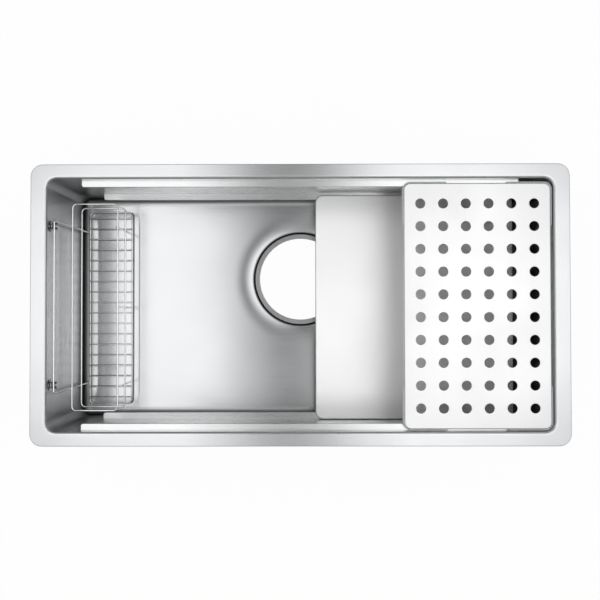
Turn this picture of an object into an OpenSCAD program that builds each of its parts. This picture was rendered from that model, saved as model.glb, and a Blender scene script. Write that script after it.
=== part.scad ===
// Stainless steel workstation sink with two pairs of ledges, a sliding drain board,
// a sliding tray and a lift-out wire basket.
// Origin: centre of the opening in the plane where the rim rests on a worktop.
// +X is right, +Y is the wall side, +Z is up. All sizes are millimetres.

/* [Rim and bowl] */
// Length of the opening, left to right
opening_length = 827; // [740:1:920]
// Width of the opening, front to back
opening_width = 413; // [370:1:460]
// Corner radius of the opening
opening_corner_r = 16; // [15:1:24]
// Width of the rim beyond the opening at the left and right ends
rim_end_width = 26.5; // [16:0.5:40]
// Width of the rim beyond the opening along the front and the rear
rim_side_width = 23.5; // [16:0.5:40]
// Thickness of the rim plate
rim_t = 3; // [2:0.5:4]
// Corner radius of the rim outside
rim_corner_r = 20; // [14:1:30]
// Depth from the top of the rim to the floor of the bowl
bowl_depth = 220; // [210:5:240]
// Thickness of the bowl sheet
sheet_t = 1.5; // [1:0.1:2]
// Radius where the floor turns up into the walls
floor_fillet_r = 12; // [8:1:14]

/* [Drain] */
// Diameter of the recess pressed into the floor for the waste
recess_d = 180; // [170:1:190]
// Depth of that recess
recess_depth = 5; // [3:0.5:8]
// Diameter of the hole that the waste passes through
drain_hole_d = 157; // [140:1:162]
// Distance of the hole centre from the middle, towards the wall side
drain_y = 52; // [30:1:70]

/* [Ledges] */
// Distance from each end of a ledge to the end wall of the bowl
ledge_end_gap = 52.5; // [30:0.5:90]
// How far a ledge stands out from its wall
ledge_reach = 11.6; // [10:0.1:15]
// Thickness of a ledge
ledge_t = 6; // [4:0.5:10]
// Radius of a ledge's inner end corners
ledge_corner_r = 4; // [2:0.5:8]
// Depth of the upper ledges below the top of the rim
upper_ledge_depth = 15; // [14:0.5:20]
// Depth of the lower ledges below the top of the rim
lower_ledge_depth = 155; // [120:1:170]

/* [Drain board] */
// Length of the perforated board along the ledges
board_length = 240; // [226:1:300]
// Width of the opening that the board leaves free, front and rear together
board_play = 11; // [10:1:18]
// Corner radius of the board
board_corner_r = 11; // [9:0.5:14]
// Height of the board from its guards' feet to its top
board_h = 10; // [8:0.5:12]
// Gap between the board and the right wall
board_end_gap = 3.5; // [3.5:0.5:100]
// How far the board lies towards the front of the bowl
board_shift = 2; // [0:0.5:3]
// Distance between hole centres
hole_pitch = 37.2; // [30:0.1:45]
// Least distance from a hole centre to the edge of the board
hole_margin = 26; // [24:1:40]
// Diameter of a drain hole in the board
board_hole_d = 15.8; // [10:0.1:20]
// Length of each leg of a corner guard, measured from the board's corner
guard_leg = 70; // [40:1:90]
// Thickness of a guard outside the board's edge
guard_proud = 2.2; // [1.8:0.1:2.4]

/* [Lower tray] */
// Length of the tray along the ledges
tray_length = 358; // [250:1:370]
// Width of the opening that the tray leaves free, front and rear together
tray_play = 6; // [6:0.5:14]
// Corner radius of the tray
tray_corner_r = 13.5; // [10:0.5:15]
// Height of the tray
tray_h = 12; // [8:0.5:15]
// Gap between the tray and the right wall
tray_end_gap = 28; // [5:0.5:60]
// How far the tray lies towards the front of the bowl
tray_shift = 2.4; // [0:0.1:2.6]

/* [Basket] */
// Width of the wire rings, left to right, between wire centres
basket_width = 80; // [60:1:90]
// Distance from the end wires of the rings to the front and rear walls, before the shift
basket_end_gap = 24.5; // [20:0.5:60]
// Corner radius of the rings at the wire centre
basket_corner_r = 7; // [6:0.5:12]
// Distance from the bowl's left wall to the nearest ring centre
basket_wall_gap = 11.7; // [10:0.1:20]
// How far the basket lies towards the front of the bowl
basket_shift = 2.5; // [0:0.5:5]
// Diameter of the ring, leg and hanger wire
ring_wire_d = 3; // [2.5:0.1:4]
// Diameter of the floor wires
floor_wire_d = 2; // [1.5:0.1:3]
// Number of floor wires
floor_wire_count = 18; // [8:1:24]
// Distance from a ring's end wire to the nearest floor wire
floor_wire_inset = 11.2; // [9:0.1:16]
// Depth of the top ring below the top of the rim
top_ring_depth = 101; // [80:1:120]
// Depth of the middle ring below the top of the rim
middle_ring_depth = 157; // [140:1:170]
// Height of the bottom ring above the floor
bottom_ring_lift = 7; // [5:0.5:12]
// Distance from a ring's end wire to the nearest upright
leg_inset = 40.5; // [30:0.5:60]
// How much nearer to that end wire the hanger's leg stands
leg_spread = 1.5; // [0:0.5:3]
// Depth of the hanger's top bar below the top of the rim
hanger_depth = 12; // [10:0.5:16]
// Bend radius of the hanger at the wire centre
hanger_bend_r = 4.5; // [4:0.5:5]

/* [Suction cups] */
// Distance from a leg to the nearest suction cup, before the shift
cup_inset = 12; // [11.5:0.5:40]
// How far both cups lie towards the rear
cup_shift = 2; // [0:0.5:2]
// Diameter of a suction cup
cup_d = 18; // [14:0.5:20]
// How far a cup's stud lies below the bar
cup_drop = 5.5; // [5.5:0.1:8]
// Distance between the two hooks of a clip
hook_spacing = 8.2; // [8:0.1:10]

/* [Sound pads] */
// Thickness of the rubber pads stuck to the outside of the bowl
pad_t = 3; // [2:0.5:5]
// Height of the pads on the walls
wall_pad_h = 120; // [60:5:150]
// Distance from the pads on the front and rear walls to the end walls
long_pad_inset = 96; // [40:1:200]
// Distance from the pads on the end walls to the front and rear walls
short_pad_inset = 68; // [40:1:120]
// Distance from each floor pad to the nearest end wall
floor_pad_end_inset = 42.5; // [25:0.5:120]
// Distance from the floor pads to the front and rear walls
floor_pad_side_inset = 38; // [20:1:100]

/* [Hidden] */

// Circles are drawn with enough sides to count as round
$fn = 64;
// Small overlap that lets one cut pass fully through another shape
cut = 1;
// Gap between a loose piece and what carries it
seat_gap = 0.2;
// Gap between a wire end or rubber face and the steel it stands on
touch_gap = 0.3;
// Depth to which two welded wires sink into each other
weld_bite = 0.2;

// Levels, measured from the worktop plane
rim_top = rim_t;
floor_top = rim_top - bowl_depth;
pan_top = floor_top + floor_fillet_r;
upper_ledge_top = rim_top - upper_ledge_depth;
lower_ledge_top = rim_top - lower_ledge_depth;
wall_half_x = opening_length / 2;
wall_half_y = opening_width / 2;
rim_length = opening_length + 2 * rim_end_width;
rim_depth = opening_width + 2 * rim_side_width;
ledge_length = opening_length - 2 * ledge_end_gap;

// Board: its place, its width between the walls and its rows of holes
board_width = opening_width - board_play;
board_x = wall_half_x - board_end_gap - board_length / 2;
hole_columns = floor((board_length - 2 * hole_margin) / hole_pitch) + 1;
hole_rows = floor((board_width - 2 * hole_margin) / hole_pitch) + 1;

// Guards hold the board: a lip of this thickness lies under the flange
guard_lip = 1.5;
guard_inner = 1.5;
guard_inner_h = 5;
guard_top_gap = 0.3;
// Bare length at each corner of the board where its flanges stop
flange_relief = board_corner_r + 1;
board_bottom = upper_ledge_top + seat_gap;
board_top = board_bottom + board_h;
tray_bottom = lower_ledge_top + seat_gap;
tray_width = opening_width - tray_play;
tray_x = wall_half_x - tray_end_gap - tray_length / 2;

// Basket: the rings' length and middle and the levels of the wires
basket_length = opening_width - 2 * basket_end_gap;
leg_offset = basket_length / 2 - leg_inset;
hanger_half = leg_offset + leg_spread;
floor_wire_pitch = (basket_length - 2 * floor_wire_inset) / (floor_wire_count - 1);
basket_x = -wall_half_x + basket_wall_gap + basket_width / 2;
basket_y = -basket_shift;
top_ring_z = rim_top - top_ring_depth;
middle_ring_z = rim_top - middle_ring_depth;
bottom_ring_z = floor_top + bottom_ring_lift;
floor_wire_z = bottom_ring_z + (ring_wire_d + floor_wire_d) / 2 - weld_bite;
foot_z = floor_top + touch_gap;
side_by_side = ring_wire_d - weld_bite;
hanger_x = basket_x - basket_width / 2 - side_by_side;
upright_x = basket_x + basket_width / 2 - side_by_side;
bar_z = rim_top - hanger_depth;
upright_stand = 1;
leg_end_z = bottom_ring_z - ring_wire_d / 2 - upright_stand;

// Suction cups: the stud's height and the steps along it, from the wall
cup_offset = hanger_half - cup_inset;
cups_y = basket_y + cup_shift;
stud_z = bar_z - cup_drop;
cup_t = 2.2;
cup_lip_t = 0.8;
neck_d = 8;
plate_t = 2;
plate_w = 12;
plate_h = 12;
stud_d = 4;
nut_d = 6.4;
nut_t = 4.6;
nut_cap_t = 1.2;
hook_w = 3;
hook_t = 2;
hook_nose = 2.9;
fit_gap = 0.1;
cup_face_x = -wall_half_x + touch_gap;
plate_x = hanger_x - ring_wire_d / 2 - fit_gap - plate_t;
nut_bore = nut_t - nut_cap_t;
stud_reach = plate_x - cup_face_x + plate_t + nut_bore - touch_gap;

// Pads hang this far below the rim and stay this far from the recess
pad_drop = 60;
pad_corner_r = 8;
pad_recess_gap = 12;
long_pad_length = opening_length - 2 * long_pad_inset;
short_pad_length = opening_width - 2 * short_pad_inset;
floor_pad_near = recess_d / 2 + sheet_t + pad_recess_gap;
floor_pad_length = wall_half_x - floor_pad_end_inset - floor_pad_near;
floor_pad_width = opening_width - 2 * floor_pad_side_inset;

// A rectangle with round corners, centred
module rounded_rect(w, d, r) {
  square([w - 2 * r, d], center = true);
  square([w, d - 2 * r], center = true);
  for (sx = [-1, 1], sy = [-1, 1])
    translate([sx * (w / 2 - r), sy * (d / 2 - r)])
      circle(r = r);
}

// The band between two rounded rectangles, outer and inner offset from one outline
module rounded_band(w, d, r, out, in) {
  difference() {
    rounded_rect(w + 2 * out, d + 2 * out, r + out);
    rounded_rect(w - 2 * in, d - 2 * in, r - in);
  }
}

// Half profile of a rectangle from 0 to w whose lower outer corner is round
module fillet_profile(w, h, r) {
  intersection() {
    union() {
      square([w - r, h]);
      translate([0, r])
        square([w, h]);
      translate([w - r, r])
        circle(r = r);
    }
    square([w, h]);
  }
}

// A box with round upright corners and a round lower edge, built from cells that
// share flat faces: a middle block, two end blocks and four turned corners
module rounded_pan_block(w, d, h, corner_r, edge_r) {
  cx = w / 2 - corner_r;
  cy = d / 2 - corner_r;
  for (s = [0, 180])
    rotate([0, 0, s])
      rotate([90, 0, 90])
        translate([0, 0, -cx])
          linear_extrude(2 * cx)
            fillet_profile(d / 2, h, edge_r);
  for (s = [0, 180])
    rotate([0, 0, s])
      translate([cx, 0, 0])
        rotate([90, 0, 0])
          translate([0, 0, -cy])
            linear_extrude(2 * cy)
              intersection() {
                translate([-cx, 0])
                  fillet_profile(w / 2, h, edge_r);
                square([corner_r, h]);
              }
  for (sx = [-1, 1], sy = [-1, 1])
    translate([sx * cx, sy * cy, 0])
      rotate([0, 0, (sx > 0 ? (sy > 0 ? 0 : 270) : (sy > 0 ? 90 : 180))])
        rotate_extrude(angle = 90)
          intersection() {
            fillet_profile(corner_r, h, edge_r);
            square([corner_r, h]);
          }
}

// A round wire along a path of square turns, with each corner bent to a radius
module wire_run(points, d, bend_r) {
  last = len(points) - 1;
  for (i = [0 : last - 1]) {
    step = points[i + 1] - points[i];
    along = step / norm(step);
    from = points[i] + (i > 0 ? bend_r : 0) * along;
    to = points[i + 1] - (i < last - 1 ? bend_r : 0) * along;
    wire_bar(from, to, d);
  }
  for (i = [1 : 1 : last - 1])
    wire_bend(points[i - 1], points[i], points[i + 1], d, bend_r);
}

// A straight round bar between two points
module wire_bar(from, to, d) {
  step = to - from;
  turn = [0, acos(step[2] / norm(step)), atan2(step[1], step[0])];
  translate(from)
    rotate(turn)
      cylinder(h = norm(step), d = d);
}

// A quarter bend at the corner point b, between the directions a-b and b-c
module wire_bend(a, b, c, d, bend_r) {
  in_dir = (b - a) / norm(b - a);
  out_dir = (c - b) / norm(c - b);
  side = cross(in_dir, out_dir);
  centre = b - bend_r * in_dir + bend_r * out_dir;
  multmatrix([
    [-out_dir[0], in_dir[0], side[0], centre[0]],
    [-out_dir[1], in_dir[1], side[1], centre[1]],
    [-out_dir[2], in_dir[2], side[2], centre[2]]
  ])
    rotate_extrude(angle = 90)
      translate([bend_r, 0])
        circle(d = d);
}

// A closed wire ring with four round corners, at height z
module wire_ring(z) {
  hx = basket_width / 2;
  hy = basket_length / 2;
  translate([basket_x, basket_y, z])
    wire_run(
      [[0, -hy, 0], [hx, -hy, 0], [hx, hy, 0], [-hx, hy, 0], [-hx, -hy, 0], [0, -hy, 0]],
      ring_wire_d, basket_corner_r
    );
}

// The thick plate that rests on the worktop, welded round the bowl's top edge
module rim_frame() {
  color("gainsboro")
    linear_extrude(rim_t)
      difference() {
        rounded_rect(rim_length, rim_depth, rim_corner_r);
        rounded_rect(
          opening_length + 2 * sheet_t, opening_width + 2 * sheet_t, opening_corner_r + sheet_t
        );
      }
}

// The band of sheet that is bent round the four walls and welded at the pan's edge
module bowl_walls() {
  color("silver")
    translate([0, 0, pan_top])
      linear_extrude(rim_top - pan_top)
        rounded_band(opening_length, opening_width, opening_corner_r, sheet_t, 0);
}

// The pressed floor pan: its edge turns up into the walls, and it has a recess and
// a hole for the waste
module bowl_floor() {
  color("gainsboro")
    difference() {
      union() {
        translate([0, 0, floor_top - sheet_t])
          rounded_pan_block(
            opening_length + 2 * sheet_t, opening_width + 2 * sheet_t, pan_top - floor_top + sheet_t,
            opening_corner_r + sheet_t, floor_fillet_r + sheet_t
          );
        translate([0, drain_y, floor_top - sheet_t - recess_depth])
          cylinder(h = recess_depth + sheet_t, d = recess_d + 2 * sheet_t);
      }
      translate([0, 0, floor_top])
        rounded_pan_block(
          opening_length, opening_width, pan_top - floor_top + cut, opening_corner_r, floor_fillet_r
        );
      translate([0, drain_y, floor_top - recess_depth])
        cylinder(h = recess_depth + cut, d = recess_d);
      translate([0, drain_y, floor_top - recess_depth - sheet_t - cut])
        cylinder(h = recess_depth + sheet_t + 2 * cut, d = drain_hole_d);
    }
}

// One ledge strip on a wall, with its top at the given level; side is 1 rear, -1 front
module ledge(top, side) {
  half = ledge_length / 2;
  color("whitesmoke")
    translate([0, 0, top - ledge_t])
      mirror([0, side > 0 ? 0 : 1, 0])
        linear_extrude(ledge_t)
          union() {
            translate([-half, wall_half_y - ledge_reach + ledge_corner_r])
              square([ledge_length, ledge_reach - ledge_corner_r]);
            translate([-half + ledge_corner_r, wall_half_y - ledge_reach])
              square([ledge_length - 2 * ledge_corner_r, ledge_reach]);
            for (s = [-1, 1])
              translate([s * (half - ledge_corner_r), wall_half_y - ledge_reach + ledge_corner_r])
                circle(r = ledge_corner_r);
          }
}

module upper_ledge_rear() { ledge(upper_ledge_top, 1); }
module upper_ledge_front() { ledge(upper_ledge_top, -1); }
module lower_ledge_rear() { ledge(lower_ledge_top, 1); }
module lower_ledge_front() { ledge(lower_ledge_top, -1); }

// A rubber pad lying flat, its lower face at z = 0
module pad(w, d) {
  color("dimgray")
    linear_extrude(pad_t)
      rounded_rect(w, d, pad_corner_r);
}

// A pad on the front or rear wall
module long_wall_pad(side) {
  translate([0, side * (wall_half_y + sheet_t), rim_top - pad_drop - wall_pad_h / 2])
    rotate([-90 * side, 0, 0])
      pad(long_pad_length, wall_pad_h);
}

// A pad on the left or right wall
module end_wall_pad(side) {
  translate([side * (wall_half_x + sheet_t), 0, rim_top - pad_drop - wall_pad_h / 2])
    rotate([0, 90 * side, 0])
      pad(wall_pad_h, short_pad_length);
}

// A pad under the floor beside the recess
module floor_pad(side) {
  translate([side * (floor_pad_near + floor_pad_length / 2), 0, floor_top - sheet_t - pad_t])
    pad(floor_pad_length, floor_pad_width);
}

module sound_pad_rear() { long_wall_pad(1); }
module sound_pad_front() { long_wall_pad(-1); }
module sound_pad_left() { end_wall_pad(-1); }
module sound_pad_right() { end_wall_pad(1); }
module sound_pad_floor_left() { floor_pad(-1); }
module sound_pad_floor_right() { floor_pad(1); }

// The perforated board: a flat sheet with four folded flanges that stop at the corners
module drain_board() {
  flange_h = board_h - guard_lip;
  color("white")
    translate([board_x, -board_shift, board_top - sheet_t])
      difference() {
        union() {
          linear_extrude(sheet_t)
            rounded_rect(board_length, board_width, board_corner_r);
          for (s = [-1, 1]) {
            translate([s * (board_length - sheet_t) / 2, 0, sheet_t - flange_h / 2])
              cube([sheet_t, board_width - 2 * flange_relief, flange_h], center = true);
            translate([0, s * (board_width - sheet_t) / 2, sheet_t - flange_h / 2])
              cube([board_length - 2 * flange_relief, sheet_t, flange_h], center = true);
          }
        }
        for (i = [0 : hole_columns - 1], j = [0 : hole_rows - 1])
          translate([
            (i - (hole_columns - 1) / 2) * hole_pitch,
            (j - (hole_rows - 1) / 2) * hole_pitch,
            -cut
          ])
            cylinder(h = sheet_t + 2 * cut, d = board_hole_d);
      }
}

// A soft corner guard: an outer wall, a lip under the flange and a low inner wall
module board_guard(sx, sy) {
  reach = guard_leg + guard_proud;
  wall_h = board_h - guard_top_gap;
  in_flange = sheet_t + guard_inner;
  color("azure")
    translate([board_x, -board_shift, board_bottom])
      intersection() {
        union() {
          linear_extrude(wall_h)
            rounded_band(board_length, board_width, board_corner_r, guard_proud, 0);
          linear_extrude(guard_lip)
            rounded_band(board_length, board_width, board_corner_r, guard_proud, in_flange);
          linear_extrude(guard_inner_h)
            rounded_band(board_length, board_width, board_corner_r, -sheet_t, in_flange);
        }
        translate([
          sx * (board_length / 2 - guard_leg + reach / 2),
          sy * (board_width / 2 - guard_leg + reach / 2),
          wall_h / 2
        ])
          cube([reach, reach, wall_h + 2 * cut], center = true);
      }
}

module board_guard_rear_left() { board_guard(-1, 1); }
module board_guard_rear_right() { board_guard(1, 1); }
module board_guard_front_left() { board_guard(-1, -1); }
module board_guard_front_right() { board_guard(1, -1); }

// The plain tray: a flat sheet drawn down into a skirt all round
module lower_tray() {
  color("lightgray")
    translate([tray_x, -tray_shift, tray_bottom]) {
      translate([0, 0, tray_h - sheet_t])
        linear_extrude(sheet_t)
          rounded_rect(tray_length, tray_width, tray_corner_r);
      linear_extrude(tray_h)
        rounded_band(tray_length, tray_width, tray_corner_r, 0, sheet_t);
    }
}

module basket_top_ring() { color("lightsteelblue") wire_ring(top_ring_z); }
module basket_middle_ring() { color("lightsteelblue") wire_ring(middle_ring_z); }
module basket_bottom_ring() { color("lightsteelblue") wire_ring(bottom_ring_z); }

// Straight wires side by side, resting on the bottom ring
module basket_floor_wires() {
  half = basket_width / 2;
  color("slategray")
    for (i = [0 : floor_wire_count - 1])
      translate([basket_x, basket_y + (i - (floor_wire_count - 1) / 2) * floor_wire_pitch, floor_wire_z])
        wire_bar([-half, 0, 0], [half, 0, 0], floor_wire_d);
}

// An upright inside the rings on the open side, from the floor to just over the top ring
module basket_upright(y) {
  color("slategray")
    wire_bar(
      [upright_x, basket_y + y, foot_z],
      [upright_x, basket_y + y, top_ring_z + ring_wire_d / 2 + upright_stand], ring_wire_d
    );
}

module basket_upright_rear() { basket_upright(leg_offset); }
module basket_upright_centre() { basket_upright(0); }
module basket_upright_front() { basket_upright(-leg_offset); }

// One wire: a leg up from the bottom ring, the top bar and the other leg down
module basket_hanger() {
  color("lightsteelblue")
    wire_run(
      [
        [hanger_x, basket_y + hanger_half, leg_end_z], [hanger_x, basket_y + hanger_half, bar_z],
        [hanger_x, basket_y - hanger_half, bar_z], [hanger_x, basket_y - hanger_half, leg_end_z]
      ],
      ring_wire_d, hanger_bend_r
    );
}

// A soft cup that presses on the wall, with its neck and stud, turned about X
module suction_cup(side) {
  plate_face = plate_x - cup_face_x;
  color("gainsboro")
    translate([cup_face_x, cups_y + side * cup_offset, stud_z])
      rotate([0, 90, 0])
        rotate_extrude()
          polygon([
            [0, cup_lip_t], [cup_d / 2 - cup_lip_t, 0], [cup_d / 2, 0], [cup_d / 2, cup_lip_t],
            [neck_d / 2, cup_t], [neck_d / 2, plate_face], [stud_d / 2, plate_face],
            [stud_d / 2, stud_reach], [0, stud_reach]
          ]);
}

module suction_cup_rear() { suction_cup(1); }
module suction_cup_front() { suction_cup(-1); }

// A plastic plate on the cup's stud, with two hooks that carry the bar
module cup_clip(side) {
  hook_top = bar_z - ring_wire_d / 2 - fit_gap;
  hook_end = hanger_x + ring_wire_d / 2 + fit_gap;
  color("black")
    translate([0, cups_y + side * cup_offset, 0])
      difference() {
        union() {
          translate([plate_x, -plate_w / 2, stud_z - plate_h / 2])
            cube([plate_t, plate_w, plate_h]);
          for (s = [-1, 1])
            translate([0, s * hook_spacing / 2 + hook_w / 2, 0])
              rotate([90, 0, 0])
                linear_extrude(hook_w)
                  polygon([
                    [plate_x, hook_top - hook_t], [hook_end + hook_nose, hook_top - hook_t],
                    [hook_end + hook_nose, bar_z], [hook_end, bar_z],
                    [hook_end, hook_top], [plate_x, hook_top]
                  ]);
        }
        translate([plate_x - cut, 0, stud_z])
          rotate([0, 90, 0])
            cylinder(h = plate_t + 2 * cut, d = stud_d + 2 * fit_gap);
      }
}

module cup_clip_rear() { cup_clip(1); }
module cup_clip_front() { cup_clip(-1); }

// A bright cap nut that holds the clip on the cup's stud
module cup_nut(side) {
  color("white")
    translate([plate_x + plate_t, cups_y + side * cup_offset, stud_z])
      rotate([0, 90, 0])
        difference() {
          cylinder(h = nut_t, d = nut_d, $fn = 6);
          translate([0, 0, -cut])
            cylinder(h = nut_bore + cut, d = stud_d + 2 * fit_gap);
        }
}

module cup_nut_rear() { cup_nut(1); }
module cup_nut_front() { cup_nut(-1); }

rim_frame();
bowl_walls();
bowl_floor();
upper_ledge_rear();
upper_ledge_front();
lower_ledge_rear();
lower_ledge_front();
sound_pad_rear();
sound_pad_front();
sound_pad_left();
sound_pad_right();
sound_pad_floor_left();
sound_pad_floor_right();
drain_board();
board_guard_rear_left();
board_guard_rear_right();
board_guard_front_left();
board_guard_front_right();
lower_tray();
basket_top_ring();
basket_middle_ring();
basket_bottom_ring();
basket_floor_wires();
basket_upright_rear();
basket_upright_centre();
basket_upright_front();
basket_hanger();
suction_cup_rear();
suction_cup_front();
cup_clip_rear();
cup_clip_front();
cup_nut_rear();
cup_nut_front();
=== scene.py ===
# %% [markdown]
# # A steel kitchen sink
# This file dresses a finished CAD model of a stainless steel kitchen sink for a picture.
# The real sink is folded and welded from sheet steel. It has two pairs of ledges on its long
# walls, and three loose things in it: a perforated drain board, a plain tray and a wire basket.
# The CAD model gives every size and place. Here each piece gets the soft edges, folds, weld
# beads and brushed finish that the eye looks for in real metal.
# Pieces are worked out in millimetres and built in metres. +X is right, +Y is the wall side
# and +Z is up. Height 0 is the worktop.

import bmesh
import bpy
import numpy as np
from mathutils import Matrix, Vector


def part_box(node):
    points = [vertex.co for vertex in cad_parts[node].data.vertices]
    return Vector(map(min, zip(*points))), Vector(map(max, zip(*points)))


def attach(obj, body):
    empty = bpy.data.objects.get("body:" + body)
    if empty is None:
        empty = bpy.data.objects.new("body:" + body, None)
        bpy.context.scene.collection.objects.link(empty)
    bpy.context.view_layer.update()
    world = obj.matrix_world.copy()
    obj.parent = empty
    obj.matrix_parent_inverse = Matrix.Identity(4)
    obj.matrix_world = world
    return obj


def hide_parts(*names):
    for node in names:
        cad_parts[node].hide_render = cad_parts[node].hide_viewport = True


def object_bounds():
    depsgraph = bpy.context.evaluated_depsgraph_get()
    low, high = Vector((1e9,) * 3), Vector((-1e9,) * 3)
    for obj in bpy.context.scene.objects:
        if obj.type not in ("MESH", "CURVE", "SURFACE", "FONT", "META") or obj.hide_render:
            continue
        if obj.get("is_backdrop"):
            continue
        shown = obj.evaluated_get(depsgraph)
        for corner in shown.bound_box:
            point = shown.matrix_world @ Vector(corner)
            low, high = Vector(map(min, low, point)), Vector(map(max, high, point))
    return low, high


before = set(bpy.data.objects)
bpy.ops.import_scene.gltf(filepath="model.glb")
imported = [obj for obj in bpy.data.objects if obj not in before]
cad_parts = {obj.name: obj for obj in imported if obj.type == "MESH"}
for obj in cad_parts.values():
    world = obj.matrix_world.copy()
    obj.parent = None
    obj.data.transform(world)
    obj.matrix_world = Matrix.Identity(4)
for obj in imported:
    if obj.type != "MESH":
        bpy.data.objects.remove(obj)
cad_low, cad_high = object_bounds()
MM = 0.001
print("CAD box in mm:", [round((b - a) / MM, 1) for a, b in zip(cad_low, cad_high)])

# %% [markdown]
# ## Sizes
# The frame tells where every piece starts and ends. The few sizes that a box can't tell, such
# as a corner radius or the thickness of a sheet, are written here once.

# %% Sizes read from the frame


def box_mm(node):
    """Lowest and highest corner of a CAD node, in millimetres."""
    low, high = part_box(node)
    return np.array(low) / MM, np.array(high) / MM


rim_low, rim_high = box_mm("rim_frame")
wall_low, wall_high = box_mm("bowl_walls")
board_low, board_high = box_mm("drain_board")
tray_low, tray_high = box_mm("lower_tray")

SHEET = 1.5
OPENING_R = 16.0
RIM_R = 20.0
PAN_H = 12.0
DRAIN = np.array([0.0, 52.0])
RECESS_R = 88.7
HOLE_R = 77.8
RECESS_DEPTH = 5.0

opening_x = wall_high[0] - SHEET
opening_y = wall_high[1] - SHEET
rim_top = rim_high[2]
pan_top = wall_low[2]
floor_top = pan_top - PAN_H
print("opening in mm:", round(2 * opening_x, 1), "x", round(2 * opening_y, 1))
print("floor below the rim in mm:", round(rim_top - floor_top, 1))

# %% [markdown]
# ## Drawing outlines
# Nearly every piece of this sink is a rectangle with round corners, at some height and some
# distance in from the last one. So the basic tool is one closed outline with a fixed number of
# points: two outlines drawn by it always match point for point, and a skin can be stretched
# between them. The real sheet is bent round a former, which gives just such corners.

# %% Arcs and rounded rectangles


def arc(centre, radius, start, end, steps):
    """Points on a circle: centre + radius * (cos a, sin a), with the angle a running evenly
    from start to end degrees."""
    a = np.radians(np.linspace(start, end, steps + 1))
    return np.array(centre) + radius * np.column_stack((np.cos(a), np.sin(a)))


def even_sides(count):
    """Even places from -1 to 1 along each of the four sides."""
    return [np.linspace(-1, 1, count + 1)] * 4


def round_rect(half_x, half_y, radius, sides, steps=8):
    """Closed outline of a rectangle with round corners, counter-clockwise from the right side.
    A place p on a side lies p times the way from the side's middle to the corner's centre."""
    cx = half_x - radius
    cy = half_y - radius
    right, rear, left, front = sides
    runs = [
        np.column_stack((np.full(len(right), half_x), cy * right)),
        arc((cx, cy), radius, 0, 90, steps)[1:-1],
        np.column_stack((-cx * rear, np.full(len(rear), half_y))),
        arc((-cx, cy), radius, 90, 180, steps)[1:-1],
        np.column_stack((np.full(len(left), -half_x), -cy * left)),
        arc((-cx, -cy), radius, 180, 270, steps)[1:-1],
        np.column_stack((cx * front, np.full(len(front), -half_y))),
        arc((cx, -cy), radius, 270, 360, steps)[1:-1],
    ]
    return np.concatenate(runs)


def lift(outline, z):
    """The same outline in space, at height z."""
    return np.column_stack((outline, np.full(len(outline), float(z))))


def normalised(vectors):
    """The same directions, each with length 1."""
    return vectors / np.maximum(np.linalg.norm(vectors, axis=-1, keepdims=True), 1e-9)


def full_turn(count):
    """Angles in radians that go once round in even steps."""
    return np.linspace(0, 2 * np.pi, count, endpoint=False)


ALONG_X = (1.0, 0.0, 0.0)
ALONG_Y = (0.0, 1.0, 0.0)
print("points on a plain rounded outline:", len(round_rect(10, 5, 1, even_sides(4))))

# %% [markdown]
# ## Skins
# A skin is a grid of points with a quad between each four neighbours. Besides its shape it
# carries a UV map in millimetres, how much shade is painted on each point, and the direction
# of the grain, which is how the belt went. Brushed metal stretches its reflections across the
# grain, so the shader needs to know that direction.

# %% Skins and pieces


def steps_along(points):
    """Distance travelled along a row of points, starting from 0."""
    lengths = np.linalg.norm(np.diff(points, axis=0), axis=1)
    return np.concatenate(([0.0], np.cumsum(lengths)))
def along_rows(grid):
    """The direction of each closed row at each of its points."""
    return np.roll(grid, -1, axis=1) - np.roll(grid, 1, axis=1)


def skin(grid, ring=True, tube=False, caps=False, grain=None, flat_uv=False, missed=0.0):
    """Quads over a grid of points (rows, columns, 3), in millimetres. ring joins the last
    column to the first, tube the last row to the first, and caps closes the end rows. The UV
    of a point is (distance along its row, distance down the first column). With flat_uv it is
    the point's own (x, y), or (y, x) for a grain along Y. The grain follows the rows unless
    one is given. The last argument is how much shade is painted on a point, from 0 to 1."""
    rows, columns = grid.shape[:2]
    i, j = np.meshgrid(
        np.arange(rows if tube else rows - 1),
        np.arange(columns if ring else columns - 1),
        indexing="ij",
    )
    next_i = (i + 1) % rows
    next_j = (j + 1) % columns
    quads = np.stack(
        (i * columns + j, i * columns + next_j, next_i * columns + next_j, next_i * columns + j), -1
    ).reshape(-1, 4)
    points = grid.reshape(-1, 3)
    u = steps_along(np.concatenate((grid[rows // 2], grid[rows // 2, :1])))
    v = steps_along(np.concatenate((grid[:, 0], grid[:1, 0])))
    if flat_uv:
        uv = points[quads][..., :2]
        if grain is ALONG_Y:
            uv = uv[..., ::-1]
    else:
        uv = np.stack(
            (np.stack((u[j], u[j + 1], u[j + 1], u[j]), -1),
             np.stack((v[i], v[i], v[i + 1], v[i + 1]), -1)), -1
        ).reshape(-1, 4, 2)
    if grain is None:
        grain = along_rows(grid)
        if not ring:
            grain[:, 0] = grid[:, 1] - grid[:, 0]
            grain[:, -1] = grid[:, -1] - grid[:, -2]
    grain = np.broadcast_to(grain, grid.shape).reshape(-1, 3)
    faces = quads.tolist()
    corner_uv = [uv.reshape(-1, 2)]
    if caps:
        for start in (0, (rows - 1) * columns):
            faces.append(list(range(start, start + columns)))
            corner_uv.append(points[start:start + columns, :2])
    missed = np.broadcast_to(missed, (rows, columns)).ravel()
    return dict(points=points, faces=faces, uv=np.concatenate(corner_uv), grain=grain, missed=missed)


def place_object(name, data):
    """A new object at the origin, linked to the scene."""
    made = bpy.data.objects.new(name, data)
    bpy.context.scene.collection.objects.link(made)
    return made


SHARP_TURN = np.radians(35)


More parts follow.
